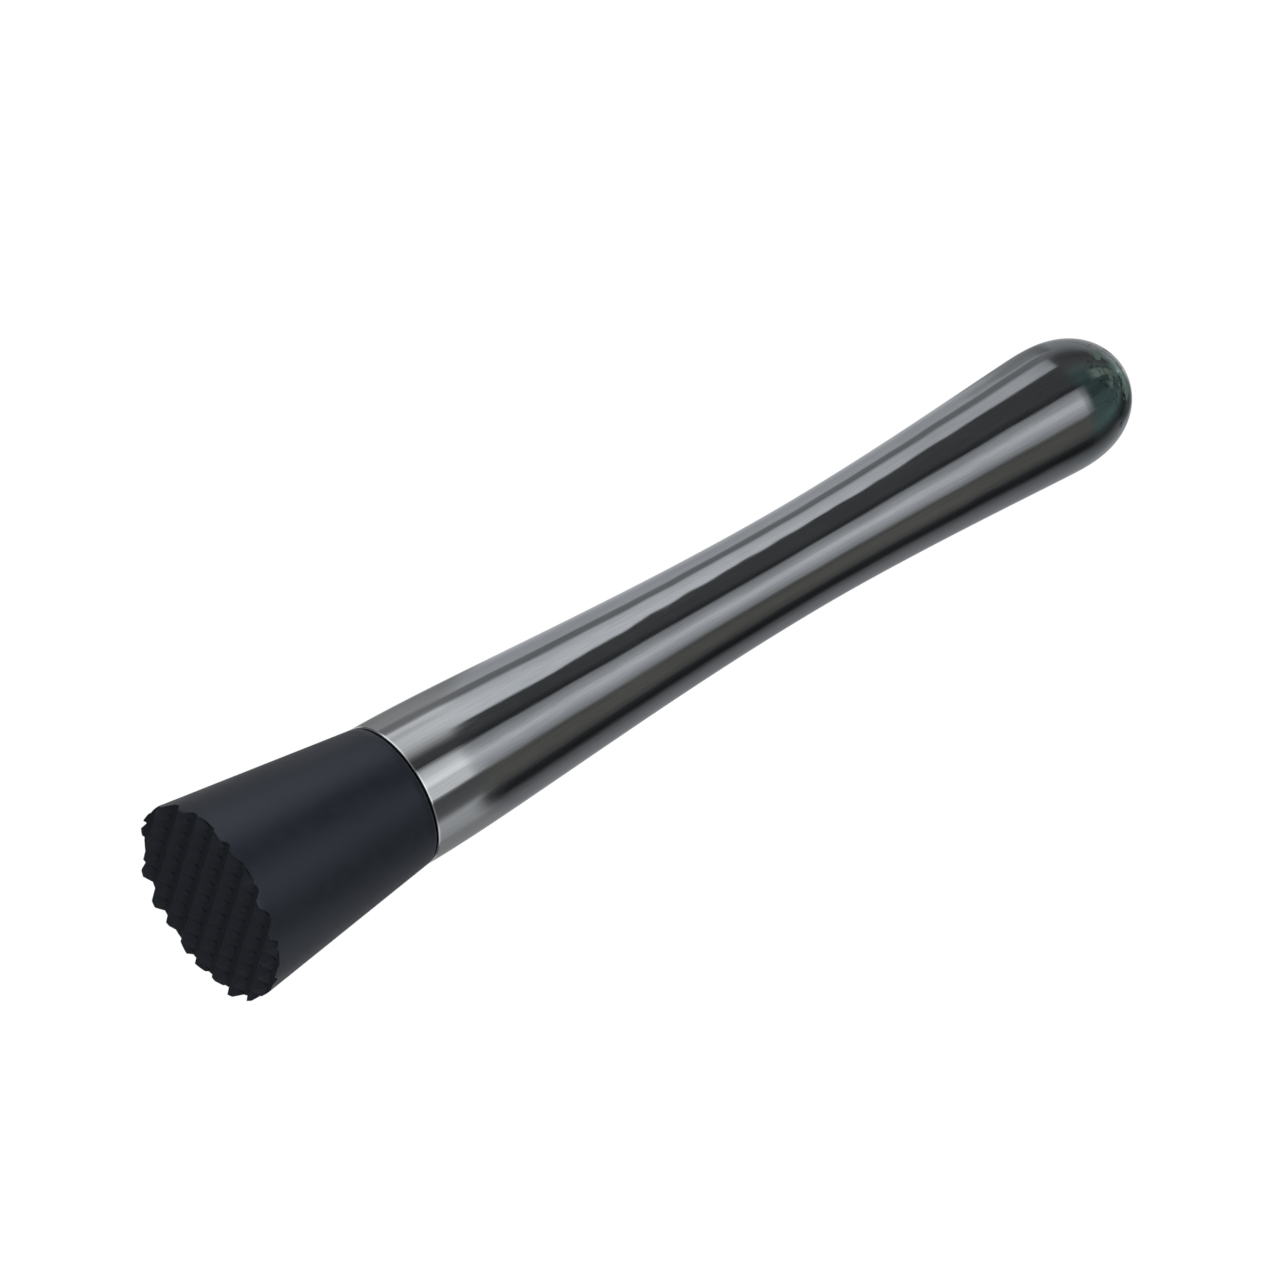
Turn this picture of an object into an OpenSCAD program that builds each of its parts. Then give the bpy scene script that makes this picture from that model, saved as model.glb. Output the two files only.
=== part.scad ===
// Bar muddler: a waisted, hollow steel handle screwed onto a flared nylon head with a toothed face.
// It stands on the tips of its teeth: Z = 0 is their plane, and +Z is its axis, towards the dome.
// All sizes are in millimetres.

/* [Head] */
// Diameter of the head at its toothed face
face_d = 36.1; // [35.5:0.1:36.7]
// Diameter of the head where it meets the handle
shoulder_d = 25.9; // [25.8:0.1:26.6]
// Height of the head's shoulder above the tooth tips
head_h = 39.1; // [38:0.1:40]
// Radius of the rounded rim of the toothed face
rim_r = 0.3; // [0.2:0.1:0.8]

/* [Teeth] */
// Distance from one tooth to the next, both ways
tooth_pitch = 4.2; // [3.8:0.1:4.6]
// Depth of the grooves between the teeth
tooth_depth = 1.5; // [1:0.1:2]
// Width of the flat tip of a tooth
tooth_tip = 0.8; // [0.6:0.1:1.4]
// Width of the flat bottom of a groove
groove_floor = 0.8; // [0.4:0.1:1.2]

/* [Handle] */
// Height of the top of the dome above the tooth tips
total_h = 205.8; // [202:0.2:210]
// Diameter of the handle at its mouth, next to the head
mouth_d = 25.9; // [25.6:0.1:26.4]
// Diameter at the narrowest place
waist_d = 18.5; // [17.5:0.1:20]
// Height of the narrowest place
waist_z = 130.5; // [125:0.5:135]
// Diameter at the widest place below the dome
bulb_d = 23.2; // [22:0.1:24]
// Height of the widest place, where the dome is welded on
bulb_z = 190; // [188:0.5:192]
// Thickness of the steel
wall = 0.8; // [0.6:0.1:1]

/* [Joint between head and handle] */
// Gap between the head's shoulder and the handle's mouth
seam = 0.4; // [0.3:0.1:0.6]
// Thickness of the rubber seal
seal_t = 1.5; // [1.2:0.1:2]
// Diameter of the head's spigot
spigot_d = 19.6; // [19:0.1:20]
// Height of the spigot above the shoulder
spigot_h = 5.8; // [5:0.1:6.5]
// Pitch of the right-hand thread
thread_pitch = 1.5; // [1.25:0.25:1.75]
// Number of turns that the thread is engaged
turns = 6; // [4:1:7]

/* [Hidden] */

$fn = 96;
steel = "lightslategray";
black = [0.13, 0.14, 0.16];
face_r = face_d / 2;
shoulder_r = shoulder_d / 2;
mouth_r = mouth_d / 2;
waist_r = waist_d / 2;
bulb_r = bulb_d / 2;
spigot_r = spigot_d / 2;

// The handle's outline: how far each curve runs straight along the axis before it bends
mouth_lead = 19.5;
waist_lead_down = 35.5;
waist_lead_up = 24;
bulb_lead = 4.5;
curve_steps = 26;
dome_steps = 22;
// The dome is fuller than an ellipse: an ellipse has a power of 2
dome_power = 2.4;
// Bevel on the cut edge of the tube's mouth
mouth_bevel = 0.2;

// Heights in the joint, with the room above the spigot, the stud's lead-in, the room above the stud
// and the plug's solid top
spigot_room = 0.4;
stud_lead = 0.8;
stud_room = 0.6;
plug_roof = 2.8;
mouth_z = head_h + seam;
plug_z = head_h + seal_t;
spigot_top = head_h + spigot_h;
tap_z = spigot_top + spigot_room;
thread_end = tap_z + turns * thread_pitch + spigot_room;
stud_top = thread_end + stud_lead;
tap_end = stud_top + stud_room;
plug_top = tap_end + plug_roof;

// The thread is a round rod whose centre winds about the axis
thread_rod_r = 4.52;
thread_throw = 0.42;
thread_gap = 0.18;
rod_sides = 24;
rings_per_turn = 10;
stud_r = 4.95;
stud_tip_r = 3.3;
stud_base = 20;
anchor_z = 22;
anchor_r = 8;
anchor_h = 5;

// Fits
spigot_gap = 0.3;
glue_gap = 0.1;
seal_gap = 0.15;

// A point of the cubic curve through p[0] and p[3], steered by p[1] and p[2]
function bezier(p, t) =
    pow(1 - t, 3) * p[0] + 3 * pow(1 - t, 2) * t * p[1]
    + 3 * (1 - t) * t * t * p[2] + pow(t, 3) * p[3];

function curve(p) = [for (i = [0:curve_steps]) bezier(p, i / curve_steps)];

// The tube's outline, from its mouth to the weld, moved inwards by inset
function tube_line(inset) = concat(
    curve([
        [mouth_r - inset, mouth_z],
        [mouth_r - inset, mouth_z + mouth_lead],
        [waist_r - inset, waist_z - waist_lead_down],
        [waist_r - inset, waist_z]
    ]),
    curve([
        [waist_r - inset, waist_z],
        [waist_r - inset, waist_z + waist_lead_up],
        [bulb_r - inset, bulb_z - bulb_lead],
        [bulb_r - inset, bulb_z]
    ])
);

// The dome's outline, from the weld to the axis
function dome_line(inset) = [
    for (i = [0:dome_steps])
        let (x = sin(90 * i / dome_steps))
        [
            i == dome_steps ? 0 : (bulb_r - inset) * sqrt(1 - pow(x, dome_power)),
            bulb_z + x * (total_h - bulb_z - inset)
        ]
];

function reversed(list) = [for (i = [len(list) - 1:-1:0]) list[i]];

// Points of an arc about c
function arc(c, r, a0, a1, n) = [
    for (i = [0:n])
        let (a = a0 + (a1 - a0) * i / n)
        [c[0] + r * cos(a), c[1] + r * sin(a)]
];

// The winding rod between two heights: rings of points whose centre goes round with the height.
// Its place depends only on the height, so that a stud and its tapped hole mesh.
module thread(rod_r, z0, z1) {
    rings = ceil(rings_per_turn * (z1 - z0) / thread_pitch);
    points = [
        for (k = [0:rings])
            let (
                z = z0 + (z1 - z0) * k / rings,
                phase = 360 * z / thread_pitch
            )
            for (i = [0:rod_sides - 1])
                let (a = 360 * i / rod_sides)
                [
                    rod_r * cos(a) + thread_throw * cos(phase),
                    rod_r * sin(a) + thread_throw * sin(phase),
                    z
                ]
    ];
    sides = [
        for (k = [0:rings - 1])
            for (i = [0:rod_sides - 1])
                let (
                    j = (i + 1) % rod_sides,
                    low = k * rod_sides,
                    high = low + rod_sides
                )
                [low + i, high + i, high + j, low + j]
    ];
    bottom = [for (i = [0:rod_sides - 1]) i];
    top = [for (i = [rod_sides - 1:-1:0]) rings * rod_sides + i];
    polyhedron(points = points, faces = concat([bottom], sides, [top]), convexity = 8);
}

module handle_tube() {
    color(steel)
    difference() {
        rotate_extrude()
            polygon(concat(tube_line(0), reversed(tube_line(wall))));
        translate([0, 0, mouth_z - 1])
            difference() {
                cylinder(r = mouth_r + 2, h = 1 + mouth_bevel);
                cylinder(r1 = mouth_r - mouth_bevel - 1, r2 = mouth_r, h = 1 + mouth_bevel);
            }
    }
}

module end_dome() {
    color(steel)
    rotate_extrude()
        polygon(concat(dome_line(0), reversed(dome_line(wall))));
}

// The plug fills the tube's mouth and follows its inner wall
module thread_plug() {
    wall_line = [for (p = tube_line(wall + glue_gap)) if (p[1] > plug_z && p[1] < plug_top) p];
    color("dimgray")
    difference() {
        rotate_extrude()
            polygon(concat(
                [[0, plug_z], [mouth_r - wall - glue_gap, plug_z]],
                wall_line,
                [[wall_line[len(wall_line) - 1][0], plug_top], [0, plug_top]]
            ));
        translate([0, 0, plug_z - 1])
            cylinder(r = spigot_r + spigot_gap, h = tap_z - plug_z + 1);
        thread(thread_rod_r + thread_gap, tap_z - 0.5, tap_end);
    }
}

module seal_ring() {
    color([0.08, 0.08, 0.08])
    translate([0, 0, head_h])
        difference() {
            cylinder(r = mouth_r - wall - seal_gap, h = seal_t);
            translate([0, 0, -1])
                cylinder(r = spigot_r + spigot_gap, h = seal_t + 2);
        }
}

// The flared body, before its teeth are cut
module head_body() {
    flare = atan((face_r - shoulder_r) / head_h);
    rim_x = face_r - rim_r * (1 + sin(flare)) / cos(flare);
    rotate_extrude()
        polygon(concat(
            [[0, 0]],
            arc([rim_x, rim_r], rim_r, -90, flare, 6),
            [
                [shoulder_r, head_h],
                [spigot_r, head_h],
                [spigot_r, spigot_top],
                [0, spigot_top]
            ]
        ));
}

// Grooves along X with sloping sides and a flat floor, one of them across the middle of the face
module grooves() {
    groove_w = tooth_pitch - tooth_tip;
    side_w = (groove_w - groove_floor) / 2;
    over = 0.5;
    half_w = groove_w / 2 + side_w * over / tooth_depth;
    half_floor = groove_floor / 2;
    last = floor((face_r + groove_w / 2) / tooth_pitch);
    for (i = [-last:last])
        translate([-face_r - 1, i * tooth_pitch, 0])
            rotate([90, 0, 90])
            linear_extrude(height = face_d + 2)
            polygon([
                [-half_w, -over],
                [half_w, -over],
                [half_floor, tooth_depth],
                [-half_floor, tooth_depth]
            ]);
}

// The hexagonal anchor keeps the stud from turning in the moulded head
module stud_root() {
    translate([0, 0, stud_base])
        cylinder(r = stud_r, h = spigot_top - stud_base);
    translate([0, 0, anchor_z])
        cylinder(r = anchor_r, h = anchor_h, $fn = 6);
}

module head() {
    color(black)
    difference() {
        head_body();
        grooves();
        rotate([0, 0, 90]) grooves();
        stud_root();
    }
}

module head_stud() {
    color("silver") {
        stud_root();
        thread(thread_rod_r, spigot_top - 0.5, thread_end);
        translate([0, 0, thread_end])
            cylinder(r1 = thread_rod_r - thread_throw, r2 = stud_tip_r, h = stud_top - thread_end);
    }
}

handle_tube();
end_dome();
thread_plug();
seal_ring();
head();
head_stud();
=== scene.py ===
import math

import bmesh
import bpy
import numpy as np
from mathutils import Matrix, Vector


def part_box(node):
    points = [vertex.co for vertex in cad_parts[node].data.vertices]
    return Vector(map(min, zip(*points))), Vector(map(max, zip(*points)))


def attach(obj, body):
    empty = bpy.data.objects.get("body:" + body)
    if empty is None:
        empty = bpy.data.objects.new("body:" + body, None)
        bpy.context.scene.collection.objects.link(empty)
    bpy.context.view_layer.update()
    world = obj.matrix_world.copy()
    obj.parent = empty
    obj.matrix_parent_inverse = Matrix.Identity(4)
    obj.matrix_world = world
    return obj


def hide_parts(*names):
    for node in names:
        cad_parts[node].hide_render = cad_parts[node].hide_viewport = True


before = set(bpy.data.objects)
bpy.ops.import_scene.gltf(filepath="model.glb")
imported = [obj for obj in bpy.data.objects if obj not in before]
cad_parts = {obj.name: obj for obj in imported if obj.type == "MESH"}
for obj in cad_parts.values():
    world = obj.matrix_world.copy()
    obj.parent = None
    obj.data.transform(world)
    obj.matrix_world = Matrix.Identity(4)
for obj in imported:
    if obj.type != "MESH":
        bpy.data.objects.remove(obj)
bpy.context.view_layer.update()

# Bar muddler: a waisted steel handle with a domed end, screwed onto a flared nylon head with a toothed
# face. It stands on the tips of its teeth at Z = 0, and +Z is its axis. Lengths are in metres.
MM = 0.001

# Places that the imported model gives
tube_low, tube_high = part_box("handle_tube")
dome_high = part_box("end_dome")[1]
seal_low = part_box("seal_ring")[0]
head_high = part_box("head")[1]
stud_low, stud_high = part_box("head_stud")
mouth_z, weld_z, top_z = tube_low.z, tube_high.z, dome_high.z
shoulder_z, spigot_z = seal_low.z, head_high.z
mouth_r, bulb_r = tube_high.x, dome_high.x
# The head's shoulder is flush with the handle's mouth
shoulder_r = mouth_r

# The handle's outline: it starts parallel to the axis, narrows to a waist and widens to the weld
WAIST_R = 9.25 * MM
WAIST_Z = 130.5 * MM
MOUTH_LEAD = 19.5 * MM
WAIST_LEAD_DOWN = 35.5 * MM
WAIST_LEAD_UP = 24 * MM
BULB_LEAD = 4.5 * MM
DOME_POWER = 2.4
WALL = 0.8 * MM
MOUTH_ROUND = 0.30 * MM

# The head and its teeth
FACE_R = 18.05 * MM
SPIGOT_R = 9.8 * MM
SPIGOT_ROOT = 0.3 * MM
SPIGOT_CHAMFER = 0.4 * MM
STUD_BORE_R = 4.97 * MM
STUD_BASE_Z = 20 * MM
BORE_CHAMFER = 0.2 * MM
RIM_ROUND = 0.3 * MM
SHOULDER_ROUND = 0.25 * MM
TOOTH_PITCH = 4.2 * MM
TOOTH_DEPTH = 1.5 * MM
TOOTH_TIP = 0.8 * MM
GROOVE_FLOOR = 0.8 * MM
TIP_ROUND = 0.14 * MM
CUTTER_REACH = 1.2 * FACE_R

# The stud: a round root with a hexagonal anchor inside the head, and a rounded thread above the spigot
STUD_R = 4.95 * MM
ANCHOR_R = 8 * MM
ANCHOR_Z = 22 * MM
ANCHOR_H = 5 * MM
THREAD_MID_R = 4.52 * MM
THREAD_HALF_DEPTH = 0.42 * MM
THREAD_PITCH = 1.5 * MM
STUD_LEAD = 0.8 * MM
STUD_TIP_R = 3.3 * MM

# How finely the meshes are divided
SIDES = 256
TUBE_STEPS_LOW = 150
TUBE_STEPS_HIGH = 110
INNER_STRIDE = 4
DOME_STEPS = 96
HEAD_WALL_STEPS = 33
LIP_STEPS = 6
EDGE_STEPS = 5
TIP_STEPS = 4
STUD_SIDES = 144
THREAD_ROWS = 20

# Edges are shaded sharp from these angles on, in degrees
SHARP = 35
SHARP_TEETH = 25
SHARP_THREAD = 50

# The camera looks up at the toothed face, with the muddler's axis rising to the right
VIEW_AZIMUTH = math.radians(21.7)
VIEW_ELEVATION = math.radians(28.715)
VIEW_ROLL = math.radians(30.21)
VIEW_DISTANCE = 1.4
VIEW_POINT_Z = 95.83 * MM
VIEW_SIDE_SHIFT = -1.345 * MM
SENSOR_MM = 36.0
LENS_MM = 230.7
CLIP_NEAR = 0.05
CLIP_FAR = 50


# Meshes

def bezier(p, steps):
    t = np.linspace(0, 1, steps + 1)[:, None]
    p = np.array(p)
    return (1 - t) ** 3 * p[0] + 3 * (1 - t) ** 2 * t * p[1] + 3 * (1 - t) * t ** 2 * p[2] + t ** 3 * p[3]


def arc(centre, radius, start, end, steps):
    a = np.radians(np.linspace(start, end, steps + 1))
    return np.stack([centre[0] + radius * np.cos(a), centre[1] + radius * np.sin(a)], 1)


def smooth(mesh, sharp):
    mesh.shade_smooth()
    mesh.set_sharp_from_angle(angle=math.radians(sharp))


def mesh_object(name, verts, faces, sharp=SHARP):
    mesh = bpy.data.meshes.new(name)
    mesh.from_pydata([tuple(v) for v in verts], [], faces)
    work = bmesh.new()
    work.from_mesh(mesh)
    bmesh.ops.recalc_face_normals(work, faces=work.faces)
    work.to_mesh(mesh)
    work.free()
    smooth(mesh, sharp)
    piece = bpy.data.objects.new(name, mesh)
    bpy.context.scene.collection.objects.link(piece)
    return piece


def ring_faces(pairs, sides):
    """Faces between pairs of rings of point numbers. A pole is a ring that repeats one number."""
    faces = []
    for low, high in pairs:
        for i in range(sides):
            j = (i + 1) % sides
            corners = [low[i], low[j], high[j], high[i]]
            faces.append(tuple(dict.fromkeys(corners)))
    return faces


def lathe(name, outline, closed, sides=SIDES):
    """Turns an outline of (radius, height) about the axis. A closed outline is the section of a shell;
    an open one starts and ends on the axis."""
    angles = np.linspace(0, 2 * math.pi, sides, endpoint=False)
    on_axis = 1e-9
    verts, rings = [], []
    for radius, z in outline:
        first = len(verts)
        if radius < on_axis:
            verts.append((0, 0, z))
            rings.append([first] * sides)
        else:
            verts.extend((radius * math.cos(a), radius * math.sin(a), z) for a in angles)
            rings.append(list(range(first, first + sides)))
    pairs = list(zip(rings, rings[1:]))
    if closed:
        pairs.append((rings[-1], rings[0]))
    return mesh_object(name, verts, ring_faces(pairs, sides))


def tube_outline():
    """The section of the tube's wall, which starts at its rounded mouth."""
    lower = [
        (mouth_r, mouth_z), (mouth_r, mouth_z + MOUTH_LEAD),
        (WAIST_R, WAIST_Z - WAIST_LEAD_DOWN), (WAIST_R, WAIST_Z),
    ]
    upper = [
        (WAIST_R, WAIST_Z), (WAIST_R, WAIST_Z + WAIST_LEAD_UP),
        (bulb_r, weld_z - BULB_LEAD), (bulb_r, weld_z),
    ]
    side = np.concatenate([bezier(lower, TUBE_STEPS_LOW), bezier(upper, TUBE_STEPS_HIGH)[1:]])
    lip_z = mouth_z + MOUTH_ROUND
    outer = side[side[:, 1] > lip_z]
    inner = side[::-INNER_STRIDE] - [WALL, 0]
    inner = inner[inner[:, 1] > lip_z]
    lip_out = arc((mouth_r - MOUTH_ROUND, lip_z), MOUTH_ROUND, -90, 0, LIP_STEPS)
    lip_in = arc((mouth_r - WALL + MOUTH_ROUND, lip_z), MOUTH_ROUND, 180, 270, LIP_STEPS)
    return np.concatenate([lip_out, outer, inner, lip_in])


def dome_outline():
    """A cup: its inside and outside each have a pole, and a flat edge joins them at the weld."""
    x = np.sin(np.linspace(0, math.pi / 2, DOME_STEPS + 1))
    fullness = np.sqrt(np.clip(1 - x ** DOME_POWER, 0, 1))
    height = top_z - weld_z
    outer = np.stack([bulb_r * fullness, weld_z + x * height], 1)
    inner = np.stack([(bulb_r - WALL) * fullness, weld_z + x * (height - WALL)], 1)
    return np.concatenate([inner[::-1], outer])


def head_outline():
    """From the middle of the toothed face, up the wall and the spigot, to the bottom of the stud's bore."""
    flare = math.atan((FACE_R - shoulder_r) / shoulder_z)
    rim_x = FACE_R - RIM_ROUND * (1 + math.sin(flare)) / math.cos(flare)
    rim = arc((rim_x, RIM_ROUND), RIM_ROUND, -90, math.degrees(flare), EDGE_STEPS)
    low = rim[-1]
    high = np.array([shoulder_r + SHOULDER_ROUND * math.tan(flare), shoulder_z - SHOULDER_ROUND])
    wall = low + (high - low) * np.linspace(0, 1, HEAD_WALL_STEPS + 1)[1:, None]
    edge_centre = (shoulder_r - SHOULDER_ROUND, shoulder_z - SHOULDER_ROUND)
    root_centre = (SPIGOT_R + SPIGOT_ROOT, shoulder_z + SPIGOT_ROOT)
    return np.concatenate([
        [(0, 0)],
        rim,
        wall,
        arc(edge_centre, SHOULDER_ROUND, 0, 90, EDGE_STEPS)[1:],
        arc(root_centre, SPIGOT_ROOT, 270, 180, EDGE_STEPS),
        [
            (SPIGOT_R, spigot_z - SPIGOT_CHAMFER), (SPIGOT_R - SPIGOT_CHAMFER, spigot_z),
            (STUD_BORE_R + BORE_CHAMFER, spigot_z), (STUD_BORE_R, spigot_z - BORE_CHAMFER),
            (STUD_BORE_R, STUD_BASE_Z), (0, STUD_BASE_Z),
        ],
    ])


def groove_outline():
    """Half a groove's section, from below its mouth to its floor, with the tooth's edge rounded over."""
    mouth = (TOOTH_PITCH - TOOTH_TIP) / 2
    floor = GROOVE_FLOOR / 2
    slope = math.atan2(TOOTH_DEPTH, mouth - floor)
    reach = TIP_ROUND * math.tan(slope / 2)
    tilt = math.degrees(slope)
    over = arc((mouth + reach, TIP_ROUND), TIP_ROUND, 270, 270 - tilt, TIP_STEPS)
    under = arc((floor - reach, TOOTH_DEPTH - TIP_ROUND), TIP_ROUND, 90 - tilt, 90, TIP_STEPS)
    return np.concatenate([[(mouth + reach, -TOOTH_DEPTH)], over, under])


def groove_cutter(turned):
    """A row of bars, one for each groove, along X or, turned, along Y."""
    half = groove_outline()
    section = np.concatenate([half, (half * [-1, 1])[::-1]])
    count = int((FACE_R + TOOTH_PITCH / 2) // TOOTH_PITCH)
    verts, faces = [], []
    for number in range(-count, count + 1):
        first, size = len(verts), len(section)
        for end in (-CUTTER_REACH, CUTTER_REACH):
            verts += [(end, number * TOOTH_PITCH + across, z) for across, z in section]
        ring = list(range(first, first + size))
        faces += ring_faces([(ring, [v + size for v in ring])], size)
        faces += [tuple(reversed(ring)), tuple(v + size for v in ring)]
    if turned:
        verts = [(-y, x, z) for x, y, z in verts]
    return mesh_object("groove_cutter", verts, faces)


def head_piece(name):
    piece = lathe(name, head_outline(), closed=False)
    cutters = [groove_cutter(turned) for turned in (False, True)]
    for cutter in cutters:
        cut = piece.modifiers.new("grooves", "BOOLEAN")
        cut.operation = "DIFFERENCE"
        cut.solver = "EXACT"
        cut.object = cutter
    scene_graph = bpy.context.evaluated_depsgraph_get()
    mesh = bpy.data.meshes.new_from_object(piece.evaluated_get(scene_graph))
    piece.modifiers.clear()
    piece.data = mesh
    for cutter in cutters:
        bpy.data.objects.remove(cutter)
    smooth(mesh, SHARP_TEETH)
    return piece


def stud_rings(angles):
    """Rings from the stud's base to its tip, as (radius at each angle, height)."""
    flat = np.ones_like(angles)
    sector = math.pi / 3
    hexagon = math.cos(sector / 2) / np.cos(angles % sector - sector / 2)
    thread_end = stud_high.z - STUD_LEAD
    rings = [
        (0 * flat, stud_low.z), (STUD_R * flat, stud_low.z), (STUD_R * flat, ANCHOR_Z),
        (ANCHOR_R * hexagon, ANCHOR_Z), (ANCHOR_R * hexagon, ANCHOR_Z + ANCHOR_H),
        (STUD_R * flat, ANCHOR_Z + ANCHOR_H), (STUD_R * flat, spigot_z),
    ]
    rows = round((thread_end - spigot_z) / THREAD_PITCH * THREAD_ROWS)
    for z in np.linspace(spigot_z, thread_end, rows + 1):
        wave = np.cos(angles - 2 * math.pi * z / THREAD_PITCH)
        rings.append((THREAD_MID_R + THREAD_HALF_DEPTH * wave, z))
    rings += [
        ((THREAD_MID_R - THREAD_HALF_DEPTH) * flat, thread_end),
        (STUD_TIP_R * flat, stud_high.z), (0 * flat, stud_high.z),
    ]
    return rings


def stud_piece(name):
    angles = np.linspace(0, 2 * math.pi, STUD_SIDES, endpoint=False)
    verts, numbers = [], []
    for radius, z in stud_rings(angles):
        first = len(verts)
        if radius[0] == 0:
            verts.append((0, 0, z))
            numbers.append([first] * STUD_SIDES)
        else:
            verts += list(zip(radius * np.cos(angles), radius * np.sin(angles), np.full(STUD_SIDES, z)))
            numbers.append(list(range(first, first + STUD_SIDES)))
    faces = ring_faces(list(zip(numbers, numbers[1:])), STUD_SIDES)
    return mesh_object(name, verts, faces, SHARP_THREAD)


# Materials

class Shader:
    """A short way to write a material's nodes. A span is a pair of numbers."""

    def __init__(self, name):
        self.material = bpy.data.materials.new(name)
        self.material.use_nodes = True
        self.tree = self.material.node_tree
        self.bsdf = self.tree.nodes["Principled BSDF"]
        self.place = self.node("ShaderNodeTexCoord").outputs["Object"]

    def node(self, kind, **settings):
        made = self.tree.nodes.new(kind)
        for key, value in settings.items():
            setattr(made, key, value)
        return made

    def put(self, value, socket):
        if isinstance(value, bpy.types.NodeSocket):
            self.tree.links.new(value, socket)
        else:
            socket.default_value = value

    def paint(self, **values):
        """Give the surface's inputs their values. A name has _ for each space."""
        for key, value in values.items():
            self.put(value, self.bsdf.inputs[key.replace("_", " ")])

    def noise(self, scale, detail=3.0, rough=0.5):
        """Noise with about so many grains to the metre along each axis."""
        scaled = self.node("ShaderNodeMapping")
        self.put(self.place, scaled.inputs["Vector"])
        scaled.inputs["Scale"].default_value = scale
        made = self.node("ShaderNodeTexNoise")
        self.put(scaled.outputs["Vector"], made.inputs["Vector"])
        made.inputs["Scale"].default_value = 1.0
        made.inputs["Detail"].default_value = detail
        made.inputs["Roughness"].default_value = rough
        return made.outputs["Fac"]

    def math(self, operation, a, b=0.0, clamp=False):
        made = self.node("ShaderNodeMath", operation=operation, use_clamp=clamp)
        self.put(a, made.inputs[0])
        self.put(b, made.inputs[1])
        return made.outputs[0]

    def times(self, first, *others):
        for other in others:
            first = self.math("MULTIPLY", first, other)
        return first

    def inverse(self, share):
        return self.math("SUBTRACT", 1.0, share)

    def range(self, value, span, to=(0.0, 1.0), kind="LINEAR"):
        """The value, carried from one span to another and held at its ends."""
        made = self.node("ShaderNodeMapRange", interpolation_type=kind)
        self.put(value, made.inputs["Value"])
        for key, number in zip(("From Min", "From Max", "To Min", "To Max"), (*span, *to)):
            self.put(number, made.inputs[key])
        return made.outputs["Result"]

    def step(self, value, span):
        """0 below the span and 1 above it, with a soft change between them."""
        return self.range(value, span, kind="SMOOTHSTEP")

    def mix(self, share, a, b, blend="MIX"):
        made = self.node("ShaderNodeMix", data_type="RGBA", blend_type=blend)
        for value, number in ((share, 0), (a, 6), (b, 7)):
            self.put(value, made.inputs[number])
        return made.outputs[2]

    def tint(self, colour, by):
        return self.mix(1.0, colour, by, "MULTIPLY")

    def height(self):
        split = self.node("ShaderNodeSeparateXYZ")
        self.put(self.place, split.inputs[0])
        return split.outputs[2]

    def bump(self, height, distance, strength=1.0, under=None):
        made = self.node("ShaderNodeBump")
        made.inputs["Strength"].default_value = strength
        made.inputs["Distance"].default_value = distance
        self.put(height, made.inputs["Height"])
        if under is not None:
            self.put(under, made.inputs["Normal"])
        return made.outputs["Normal"]


# Two spans that noise mostly keeps to, and one that falls from 1 to 0
NARROW = (0.35, 0.65)
WIDE = (0.3, 0.7)
FALL = (1.0, 0.0)


def polished_steel():
    """Mirror-polished stainless steel, with lines along the handle, faint smears, and a painted highlight
    that makes the mouth's rounded lip paler.
    """
    s = Shader("polished_steel")
    # The third colour is a painted highlight: a paler tone for the mouth's lip.
    dark, pale, painted_highlight = (0.57, 0.59, 0.60, 1), (0.70, 0.71, 0.72, 1), (0.84, 0.85, 0.86, 1)
    wave_depth, hairline_depth, brush_depth = 0.17 * MM, 0.004 * MM, 0.01 * MM
    highlight_z = (mouth_z + 0.15 * MM, mouth_z + 0.55 * MM)

    waves = s.noise((60, 60, 70), detail=1.0)
    hairlines = s.noise((9000, 9000, 45), detail=2.0)
    brush = s.noise((2600, 2600, 14), rough=0.6)
    smears = s.noise((110, 110, 38), detail=4.0, rough=0.55)
    cloud = s.noise((320, 320, 160), detail=2.0)

    tone = s.range(s.math("ADD", s.times(smears, 0.5), s.times(brush, 0.5)), NARROW)
    # Painted highlight: the steel's colour turns paler on the mouth's lip, for a thin bright line along it.
    wear_and_painted_highlight = s.times(s.range(s.height(), highlight_z, FALL), s.range(smears, (0.3, 0.6), (0.5, 1.0)))
    smeared = s.range(smears, (0.35, 0.75), (0.035, 0.08))
    brushed = s.range(brush, (0.45, 0.75), (0, 0.04))
    clouded = s.range(cloud, (0.55, 0.8), (0, 0.02))
    fine = s.bump(hairlines, hairline_depth, 0.4, under=s.bump(waves, wave_depth))
    s.paint(
        Metallic=1.0,
        Base_Color=s.mix(wear_and_painted_highlight, s.mix(tone, dark, pale), painted_highlight),
        Roughness=s.math("ADD", s.math("ADD", smeared, brushed), clouded),
        Normal=s.bump(brush, brush_depth, 0.35, under=fine),
    )
    return s.material


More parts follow.
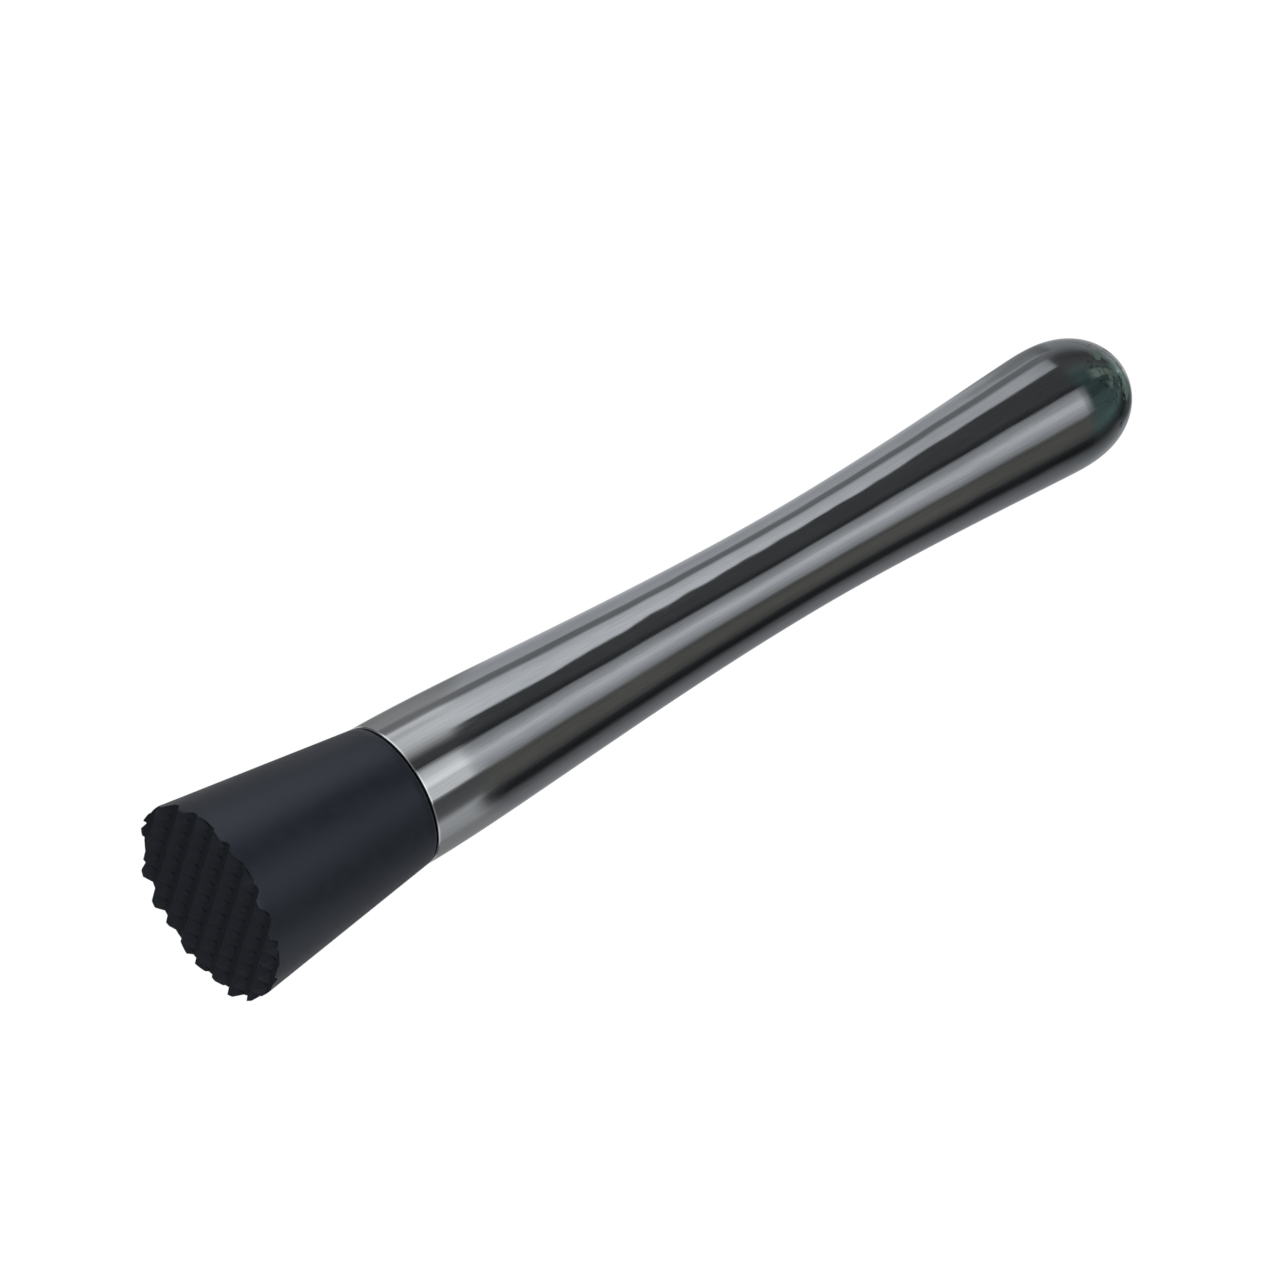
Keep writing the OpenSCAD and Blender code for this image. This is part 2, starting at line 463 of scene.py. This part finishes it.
def moulded_nylon():
    """Matte blue-black nylon with a fine grain, scuffed on the tips of the teeth and round the shoulder."""
    s = Shader("moulded_nylon")
    dark, pale = (0.0068, 0.0080, 0.0112, 1), (0.0085, 0.0100, 0.0135, 1)
    speckled, scuffed = (0.011, 0.0125, 0.016, 1), (0.022, 0.024, 0.028, 1)
    grain_depth, mottle_depth = 0.02 * MM, 0.03 * MM
    tip_z = (0.02 * MM, 0.25 * MM)
    edge_z = (shoulder_z - 0.5 * MM, shoulder_z - 0.1 * MM)

    grain = s.noise((5200, 5200, 5200), rough=0.6)
    mottle = s.noise((420, 420, 420), detail=4.0, rough=0.6)
    drift = s.noise((70, 70, 70), detail=2.0)

    edge = s.math("MAXIMUM", s.range(s.height(), tip_z, FALL), s.range(s.height(), edge_z))
    wear_and_painted_highlight = s.math("MULTIPLY", edge, s.range(mottle, NARROW, (0.2, 0.8)), clamp=True)
    plain = s.mix(s.range(drift, NARROW), dark, pale)
    mottled = s.mix(s.range(mottle, WIDE, (0.0, 0.5)), plain, speckled)
    rough = s.math("ADD", s.range(mottle, WIDE, (0.36, 0.45)), s.range(grain, WIDE, (-0.03, 0.03)))
    s.paint(
        IOR=1.75,
        Specular_Tint=(0.74, 0.82, 1.0, 1),
        Base_Color=s.mix(wear_and_painted_highlight, mottled, scuffed),
        Roughness=s.math("SUBTRACT", rough, s.times(wear_and_painted_highlight, 0.08)),
        Normal=s.bump(mottle, mottle_depth, 0.3, under=s.bump(grain, grain_depth, 0.45)),
    )
    return s.material


def seal_rubber():
    """Dull black rubber."""
    s = Shader("seal_rubber")
    grain = s.noise((3500, 3500, 3500))
    s.paint(
        Base_Color=s.mix(grain, (0.006, 0.006, 0.006, 1), (0.014, 0.014, 0.015, 1)),
        Roughness=s.range(grain, WIDE, (0.6, 0.8)),
        Normal=s.bump(grain, 0.02 * MM, 0.5),
    )
    return s.material


def plug_plastic():
    """Dark grey plastic."""
    s = Shader("plug_plastic")
    grain = s.noise((2800, 2800, 2800))
    drift = s.noise((260, 260, 260), detail=2.0)
    s.paint(
        Base_Color=s.mix(drift, (0.035, 0.035, 0.038, 1), (0.055, 0.055, 0.058, 1)),
        Roughness=s.range(grain, WIDE, (0.42, 0.58)),
        Normal=s.bump(grain, 0.02 * MM, 0.4),
    )
    return s.material


def rolled_steel():
    """The stud's satin steel, bright on the crests of its thread."""
    s = Shader("rolled_steel")
    dark, pale, bright = (0.46, 0.46, 0.46, 1), (0.60, 0.60, 0.61, 1), (0.78, 0.78, 0.79, 1)
    crest_span = (0.50, 0.56)
    lines = s.noise((900, 900, 5200))
    drift = s.noise((300, 300, 300), detail=2.0)
    crest = s.range(s.node("ShaderNodeNewGeometry").outputs["Pointiness"], crest_span)
    wear_and_painted_highlight = s.math("MULTIPLY", crest, s.range(drift, WIDE, (0.4, 1.0)), clamp=True)
    s.paint(
        Metallic=1.0,
        Base_Color=s.mix(wear_and_painted_highlight, s.mix(drift, dark, pale), bright),
        Roughness=s.range(lines, WIDE, (0.2, 0.36)),
        Normal=s.bump(lines, 0.01 * MM, 0.5),
    )
    return s.material


def finish_piece(piece, material, body, slot_name, *nodes):
    """The nodes are those of the CAD that a new piece replaces. A piece of the CAD itself has none."""
    piece.data.materials.clear()
    piece.data.materials.append(material)
    if nodes:
        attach(piece, body)
        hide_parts(*nodes)


# Stage

def view_vectors():
    """The camera's forward, right and up, and the level direction that its right is before it rolls."""
    level = Vector((-math.sin(VIEW_AZIMUTH), math.cos(VIEW_AZIMUTH), 0))
    across = Vector((math.cos(VIEW_AZIMUTH), math.sin(VIEW_AZIMUTH), 0))
    up = Vector((0, 0, 1))
    forward = level * math.cos(VIEW_ELEVATION) + up * math.sin(VIEW_ELEVATION)
    along = up * math.cos(VIEW_ELEVATION) - level * math.sin(VIEW_ELEVATION)
    right = along * math.cos(VIEW_ROLL) + across * math.sin(VIEW_ROLL)
    top = along * math.sin(VIEW_ROLL) - across * math.cos(VIEW_ROLL)
    return forward, right, top, across


def add_camera():
    forward, right, top, across = view_vectors()
    target = Vector((0, 0, VIEW_POINT_Z)) + across * VIEW_SIDE_SHIFT
    data = bpy.data.cameras.new("camera")
    data.sensor_width = SENSOR_MM
    data.lens = LENS_MM
    data.clip_start = CLIP_NEAR
    data.clip_end = CLIP_FAR
    camera = bpy.data.objects.new("camera", data)
    turn = Matrix((right, top, -forward)).transposed().to_4x4()
    camera.matrix_world = Matrix.Translation(target - forward * VIEW_DISTANCE) @ turn
    bpy.context.scene.collection.objects.link(camera)
    bpy.context.scene.camera = camera


# The studio is a glowing drum round the object, with an opening in front, and a wider drum behind the
# opening. Only reflections see them. A ring says how bright the panels at one height are, as (azimuth in
# degrees from the camera's side, tone that steel shows), and tones between two marks are even steps.
# RING_LOW is for the height that the handle's lower end mirrors, RING_MAIN for the rest of its length,
# RING_HIGH for what the dome mirrors, and RING_SIDE for what level views and views from above mirror.
RING_LOW = [
    (-180, 0.50), (-160, 0.45), (-150, 0.41), (-108, 0.48), (-103, 0.40), (-96, 0.37), (-90, 0.42),
    (-85, 0.69), (-75, 0.62), (-62, 0.68), (-50, 0.65), (-42, 0.56), (-31, 0.33), (-26, 0.22),
    (-14, 0.21), (-9, 0.55), (-4, 0.66), (5, 0.74), (10, 0.80), (15, 0.78), (20, 0.68), (36, 0.70),
    (40, 0.28), (45, 0.26), (60, 0.28), (68, 0.34), (78, 0.55), (105, 0.50), (115, 0.43),
    (150, 0.44), (180, 0.50),
]
RING_MAIN = [
    (-180, 0.58), (-160, 0.60), (-150, 0.55), (-130, 0.51), (-107, 0.54), (-103, 0.37), (-92, 0.36),
    (-76, 0.25), (-60, 0.22), (-24, 0.215), (-15, 0.155), (-12, 0.16), (-9, 0.42), (5, 0.53),
    (10, 0.61), (15, 0.625), (20, 0.58), (36, 0.43), (41, 0.26), (50, 0.28), (63, 0.28),
    (75, 0.23), (80, 0.16), (86, 0.13), (93, 0.12), (98, 0.19), (104, 0.28), (120, 0.36),
    (150, 0.42), (165, 0.49), (180, 0.58),
]
RING_HIGH = [
    (-180, 0.55), (-160, 0.54), (-145, 0.45), (-120, 0.42), (-105, 0.38), (-85, 0.24), (-75, 0.21),
    (-60, 0.24), (-42, 0.27), (-30, 0.24), (-20, 0.23), (-15, 0.20), (-5, 0.22),
    (7, 0.19), (13, 0.19), (20, 0.24), (50, 0.25), (62, 0.28), (72, 0.26), (80, 0.21), (90, 0.17),
    (98, 0.21), (110, 0.30), (125, 0.38), (145, 0.48), (160, 0.50), (180, 0.60),
]
RING_SIDE = [
    (-180, 0.34), (-163, 0.36), (-157, 0.60), (-134, 0.66), (-128, 0.30), (-106, 0.26), (-100, 0.40),
    (-92, 0.52), (-86, 0.76), (-50, 0.74), (-42, 0.60), (-31, 0.33), (-26, 0.22), (-14, 0.21),
    (-9, 0.60), (5, 0.82), (12, 0.86), (22, 0.76), (36, 0.76), (41, 0.28), (66, 0.33), (78, 0.62),
    (105, 0.58), (112, 0.30), (128, 0.26), (134, 0.60), (158, 0.55), (165, 0.32), (180, 0.34),
]
DISPLAY_GAMMA = 2.2
STEEL_SHARE = 0.64
TENT_R = 0.25
FAR_R = 0.6
STUDIO_BOTTOM = -0.7
STUDIO_TOP = 0.95
STUDIO_SIDES = 128

# Colours that tint the rings
LOW_TINT = (0.985, 1.0, 1.02, 1)
MAIN_TINT = (0.965, 0.995, 1.045, 1)
BOARD_TINT = (1.02, 1.02, 0.93, 1)
TEAL_TINT = (0.72, 1.13, 1.10, 1)
COOL_TINT = (0.96, 1.0, 1.03, 1)

# Heights between which one part of the studio turns softly into the next
SIDE_TOP = (0.12, 0.15)
LOW_TOP = (0.194, 0.206)
HANDLE_TOP = (0.312, 0.362)
FAR_LOW_TOP = (0.395, 0.435)
FAR_HANDLE_TOP = (0.505, 0.63)


def glow_of(tone):
    """What has to shine so that steel shows the tone."""
    return min(tone ** DISPLAY_GAMMA / STEEL_SHARE, 1.0)


class StudioShader(Shader):
    """A glowing wall. Its turn is the azimuth in degrees from the camera's side, and z is the height."""

    def __init__(self, name):
        super().__init__(name)
        self.tree.nodes.remove(self.bsdf)
        split = self.node("ShaderNodeSeparateXYZ")
        self.put(self.place, split.inputs[0])
        sin, cos = math.sin(VIEW_AZIMUTH), math.cos(VIEW_AZIMUTH)
        x, y, self.z = split.outputs
        side = self.math("ADD", self.times(x, cos), self.times(y, sin))
        near = self.math("SUBTRACT", self.times(x, sin), self.times(y, cos))
        self.turn = self.math("DIVIDE", self.math("ARCTAN2", side, near), math.radians(1))

    def grey(self, tone):
        return (glow_of(tone),) * 3 + (1,)

    def ring(self, marks):
        ramp = self.node("ShaderNodeValToRGB")
        self.put(self.range(self.turn, (-180, 180)), ramp.inputs["Fac"])
        elements = ramp.color_ramp.elements
        while len(elements) < len(marks):
            elements.new(0.5)
        for element, (azimuth, tone) in zip(elements, marks):
            element.position = (azimuth + 180) / 360
            element.color = self.grey(tone)
        return ramp.outputs["Color"]

    def above(self, span):
        return self.step(self.z, span)

    def below(self, span):
        return self.inverse(self.above(span))

    def between(self, left, right, soft):
        """1 between two azimuths, with soft edges as wide as the two numbers in soft."""
        first = self.step(self.turn, (left - soft[0] / 2, left + soft[0] / 2))
        last = self.step(self.turn, (right - soft[1] / 2, right + soft[1] / 2))
        return self.times(first, self.inverse(last))

    def shine(self, colour, hole=0.0):
        """Give off the colour, and let light pass where hole is 1."""
        glow, clear = self.node("ShaderNodeEmission"), self.node("ShaderNodeBsdfTransparent")
        choose = self.node("ShaderNodeMixShader")
        self.put(colour, glow.inputs["Color"])
        self.put(hole, choose.inputs[0])
        self.put(glow.outputs[0], choose.inputs[1])
        self.put(clear.outputs[0], choose.inputs[2])
        self.put(choose.outputs[0], self.tree.nodes["Material Output"].inputs["Surface"])
        self.material.cycles.emission_sampling = "NONE"
        return self.material


def handle_part(s):
    """Most of the handle mirrors this: a tall window at the left, whose other edge leans, and an olive board
    at the right."""
    left_edge, edge_soft = (-92, -83), (-2.5, 2.5)
    lean_z, lean = (0.23, 0.293), (-43.5, -62)
    window_top, dim_z, shaded = (0.304, 0.345), (0.262, 0.285), (-85, -62)
    right_edge = s.range(s.above(lean_z), (0, 1), lean)
    inside = s.inverse(s.step(s.math("SUBTRACT", s.turn, right_edge), edge_soft))
    window = s.times(inside, s.step(s.turn, left_edge), s.below(window_top))
    bright = s.mix(s.step(s.turn, shaded), s.grey(0.60), s.grey(0.66))
    bright = s.mix(s.above(dim_z), bright, s.grey(0.56))
    main = s.tint(s.mix(window, s.ring(RING_MAIN), bright), MAIN_TINT)
    return s.mix(s.between(40, 74, (4, 8)), main, s.tint(s.ring(RING_MAIN), BOARD_TINT))


def low_parts(s, lit):
    """Adds what the handle's lower end, its mouth, the head and the side views mirror."""
    # The seam with the handle's part drops at the right
    seam_z = s.math("ADD", s.z, s.range(s.turn, (55, 80), (0, 0.009)))
    lit = s.mix(s.step(seam_z, LOW_TOP), s.tint(s.ring(RING_LOW), LOW_TINT), lit)
    lit = s.mix(s.below(SIDE_TOP), lit, s.tint(s.ring(RING_SIDE), LOW_TINT))

    # Dim light under the object, and dimmer behind it
    behind, in_front = (0.11, 0.111, 0.118, 1), (0.22, 0.224, 0.235, 1)
    under = s.mix(s.between(-100, 115, (10, 10)), behind, in_front)
    lit = s.mix(s.below((-0.05, 0.02)), lit, under)

    # A strip in front, brighter than the windows, for the thin pale line on the handle's mouth
    strip_tint = (1.7, 1.71, 1.72, 1)
    strip = s.times(s.above((-0.16, -0.12)), s.below((0.01, 0.04)), s.between(-95, 105, (12, 12)))
    return s.mix(strip, lit, s.tint(s.ring(RING_LOW), strip_tint))


def dome_part(s, lit):
    """Adds what the dome mirrors: teal things with pale green patches and dark gaps."""
    high = s.ring(RING_HIGH)
    teal = s.between(-42, 85, (35, 30))
    high = s.mix(teal, s.tint(high, COOL_TINT), s.tint(high, TEAL_TINT))
    lit = s.mix(s.above(HANDLE_TOP), lit, high)

    # A dark gap along the weld at the left, which rises and ends there
    gap_bottom, gap_top, gap_end = (0.312, 0.328), (0.35, 0.375), (-112, -105)
    gap_z = s.math("ADD", s.z, s.range(s.turn, (-135, -120), (0, 0.012)))
    gap = s.times(s.step(gap_z, gap_bottom), s.below(gap_top), s.inverse(s.step(s.turn, gap_end)))
    lit = s.mix(gap, lit, s.tint(lit, (0.6, 0.6, 0.59, 1)))

    # A dark thing at the right and a pale one in front
    shade = s.times(s.between(95, 172, (10, 16)), s.above((0.44, 0.54)))
    lit = s.mix(shade, lit, s.tint(lit, (0.30, 0.34, 0.34, 1)))
    pale = s.times(s.between(-33, -12, (8, 6)), s.above((0.40, 0.50)))
    lit = s.mix(pale, lit, (0.15, 0.19, 0.165, 1))

    # Pale patches overhead, and dark slits beside them
    strips = s.noise((7, 7, 5), detail=2.0)
    patch = s.times(s.above((0.55, 0.75)), s.range(strips, (0.46, 0.54)))
    lit = s.mix(patch, lit, (0.13, 0.17, 0.145, 1))
    slit = s.range(s.math("ABSOLUTE", s.math("SUBTRACT", strips, 0.45)), (0.0, 0.02), FALL)
    return s.mix(s.times(s.above((0.42, 0.5)), slit), lit, (0.012, 0.018, 0.018, 1))


def tent_material():
    s = StudioShader("studio_tent")
    lit = dome_part(s, low_parts(s, handle_part(s)))
    opening = s.times(s.between(-11, 38.5, (2.5, 3)), s.above((0.05, 0.06)), s.below((0.37, 0.38)))
    return s.shine(lit, opening)


def far_material():
    """What is mirrored through the opening, brightest low down."""
    s = StudioShader("studio_window")
    low, main = s.tint(s.ring(RING_LOW), LOW_TINT), s.tint(s.ring(RING_MAIN), MAIN_TINT)
    lit = s.mix(s.above(FAR_LOW_TOP), low, main)
    return s.shine(s.mix(s.above(FAR_HANDLE_TOP), lit, s.tint(s.ring(RING_HIGH), TEAL_TINT)))


def studio_wall(name, radius, material):
    corners = [(0, STUDIO_BOTTOM), (radius, STUDIO_BOTTOM), (radius, STUDIO_TOP), (0, STUDIO_TOP)]
    piece = lathe(name, corners, closed=False, sides=STUDIO_SIDES)
    piece.data.materials.append(material)
    piece.visible_camera = False
    piece.visible_diffuse = False
    piece.visible_shadow = False


# The floor turns into the white backdrop between these distances from the object
FLOOR_FADE = (0.25, 0.9)
FLOOR_R = 4.0
FLOOR_SIDES = 96
FLOOR_Z = -0.1 * MM


def floor_material():
    s = Shader("floor")
    s.paint(
        Base_Color=s.mix(s.noise((3, 3, 3)), (0.80, 0.80, 0.79, 1), (0.84, 0.84, 0.83, 1)),
        Roughness=0.8,
    )
    away = s.node("ShaderNodeVectorMath", operation="LENGTH")
    s.put(s.place, away.inputs[0])
    fade, choose = s.node("ShaderNodeMixShader"), s.node("ShaderNodeMixShader")
    s.put(s.step(away.outputs["Value"], FLOOR_FADE), fade.inputs[0])
    s.put(s.bsdf.outputs[0], fade.inputs[1])
    s.put(s.node("ShaderNodeEmission").outputs[0], fade.inputs[2])
    s.put(s.node("ShaderNodeNewGeometry").outputs["Backfacing"], choose.inputs[0])
    s.put(fade.outputs[0], choose.inputs[1])
    s.put(s.node("ShaderNodeBsdfTransparent").outputs[0], choose.inputs[2])
    s.put(choose.outputs[0], s.tree.nodes["Material Output"].inputs["Surface"])
    s.material.cycles.emission_sampling = "NONE"
    return s.material


def add_floor():
    """A plain pale floor that fades into the white backdrop. From below it is clear, and the object neither
    mirrors it nor loses light to it."""
    mesh = bpy.data.meshes.new("floor")
    work = bmesh.new()
    bmesh.ops.create_circle(work, cap_ends=True, radius=FLOOR_R, segments=FLOOR_SIDES)
    work.to_mesh(mesh)
    work.free()
    mesh.materials.append(floor_material())
    floor = bpy.data.objects.new("floor", mesh)
    floor.location.z = FLOOR_Z
    bpy.context.scene.collection.objects.link(floor)
    floor.visible_glossy = False
    floor.visible_diffuse = False
    floor.visible_shadow = False


# The world's light at and below the horizon, the light from high up, and how far above the horizon it
# reaches that, as the height of a direction of length 1
WORLD_LOW = (0.10, 0.105, 0.115, 1)
WORLD_HIGH = (0.40, 0.41, 0.42, 1)
WORLD_FULL = 0.3


def add_world():
    """Soft light from all round, and a backdrop that the camera sees as white."""
    world = bpy.data.worlds.new("studio")
    bpy.context.scene.world = world
    world.use_nodes = True
    nodes, links = world.node_tree.nodes, world.node_tree.links
    seen = nodes.new("ShaderNodeLightPath").outputs["Is Camera Ray"]
    light, back = nodes["Background"], nodes.new("ShaderNodeBackground")
    split = nodes.new("ShaderNodeSeparateXYZ")
    links.new(nodes.new("ShaderNodeTexCoord").outputs["Generated"], split.inputs[0])
    fade = nodes.new("ShaderNodeValToRGB")
    low, high = fade.color_ramp.elements
    low.position, low.color = 0.0, WORLD_LOW
    high.position, high.color = WORLD_FULL, WORLD_HIGH
    links.new(split.outputs[2], fade.inputs[0])
    links.new(fade.outputs[0], light.inputs["Color"])
    back.inputs["Color"].default_value = (1, 1, 1, 1)
    choose = nodes.new("ShaderNodeMixShader")
    links.new(seen, choose.inputs[0])
    links.new(light.outputs[0], choose.inputs[1])
    links.new(back.outputs[0], choose.inputs[2])
    links.new(choose.outputs[0], nodes["World Output"].inputs["Surface"])


# Round soft lights, aimed at the object's foot: name, place, diameter and power in watts
LIGHTS = [
    ("key", (0.9, -0.7, 1.5), 1.2, 26),
    ("fill", (-1.2, -0.6, 0.9), 1.0, 9),
    ("bounce", (0.86, 0.65, -0.53), 0.7, 2.0),
]


def add_light(name, place, size, power):
    data = bpy.data.lights.new(name, "AREA")
    data.shape = "DISK"
    data.size = size
    data.energy = power
    light = bpy.data.objects.new(name, data)
    place = Vector(place)
    light.matrix_world = Matrix.Translation(place) @ (-place).to_track_quat("-Z", "Y").to_matrix().to_4x4()
    light.visible_camera = False
    light.visible_glossy = False
    bpy.context.scene.collection.objects.link(light)


add_camera()
steel = polished_steel()
nylon = moulded_nylon()
tube = lathe("handle_tube_skin", tube_outline(), closed=True)
dome = lathe("end_dome_skin", dome_outline(), closed=False)
finish_piece(tube, steel, "handle", "handle_steel", "handle_tube")
finish_piece(dome, steel, "handle", "handle_steel", "end_dome")
finish_piece(head_piece("head_skin"), nylon, "head", "head_nylon", "head")
finish_piece(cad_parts["thread_plug"], plug_plastic(), "handle", "plug_plastic")
finish_piece(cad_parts["seal_ring"], seal_rubber(), "seal", "seal_rubber")
finish_piece(stud_piece("head_stud_skin"), rolled_steel(), "head", "stud_steel", "head_stud")

add_world()
studio_wall("studio_tent", TENT_R, tent_material())
studio_wall("studio_window", FAR_R, far_material())
add_floor()
for light in LIGHTS:
    add_light(*light)
bpy.context.scene.view_settings.view_transform = "Standard"
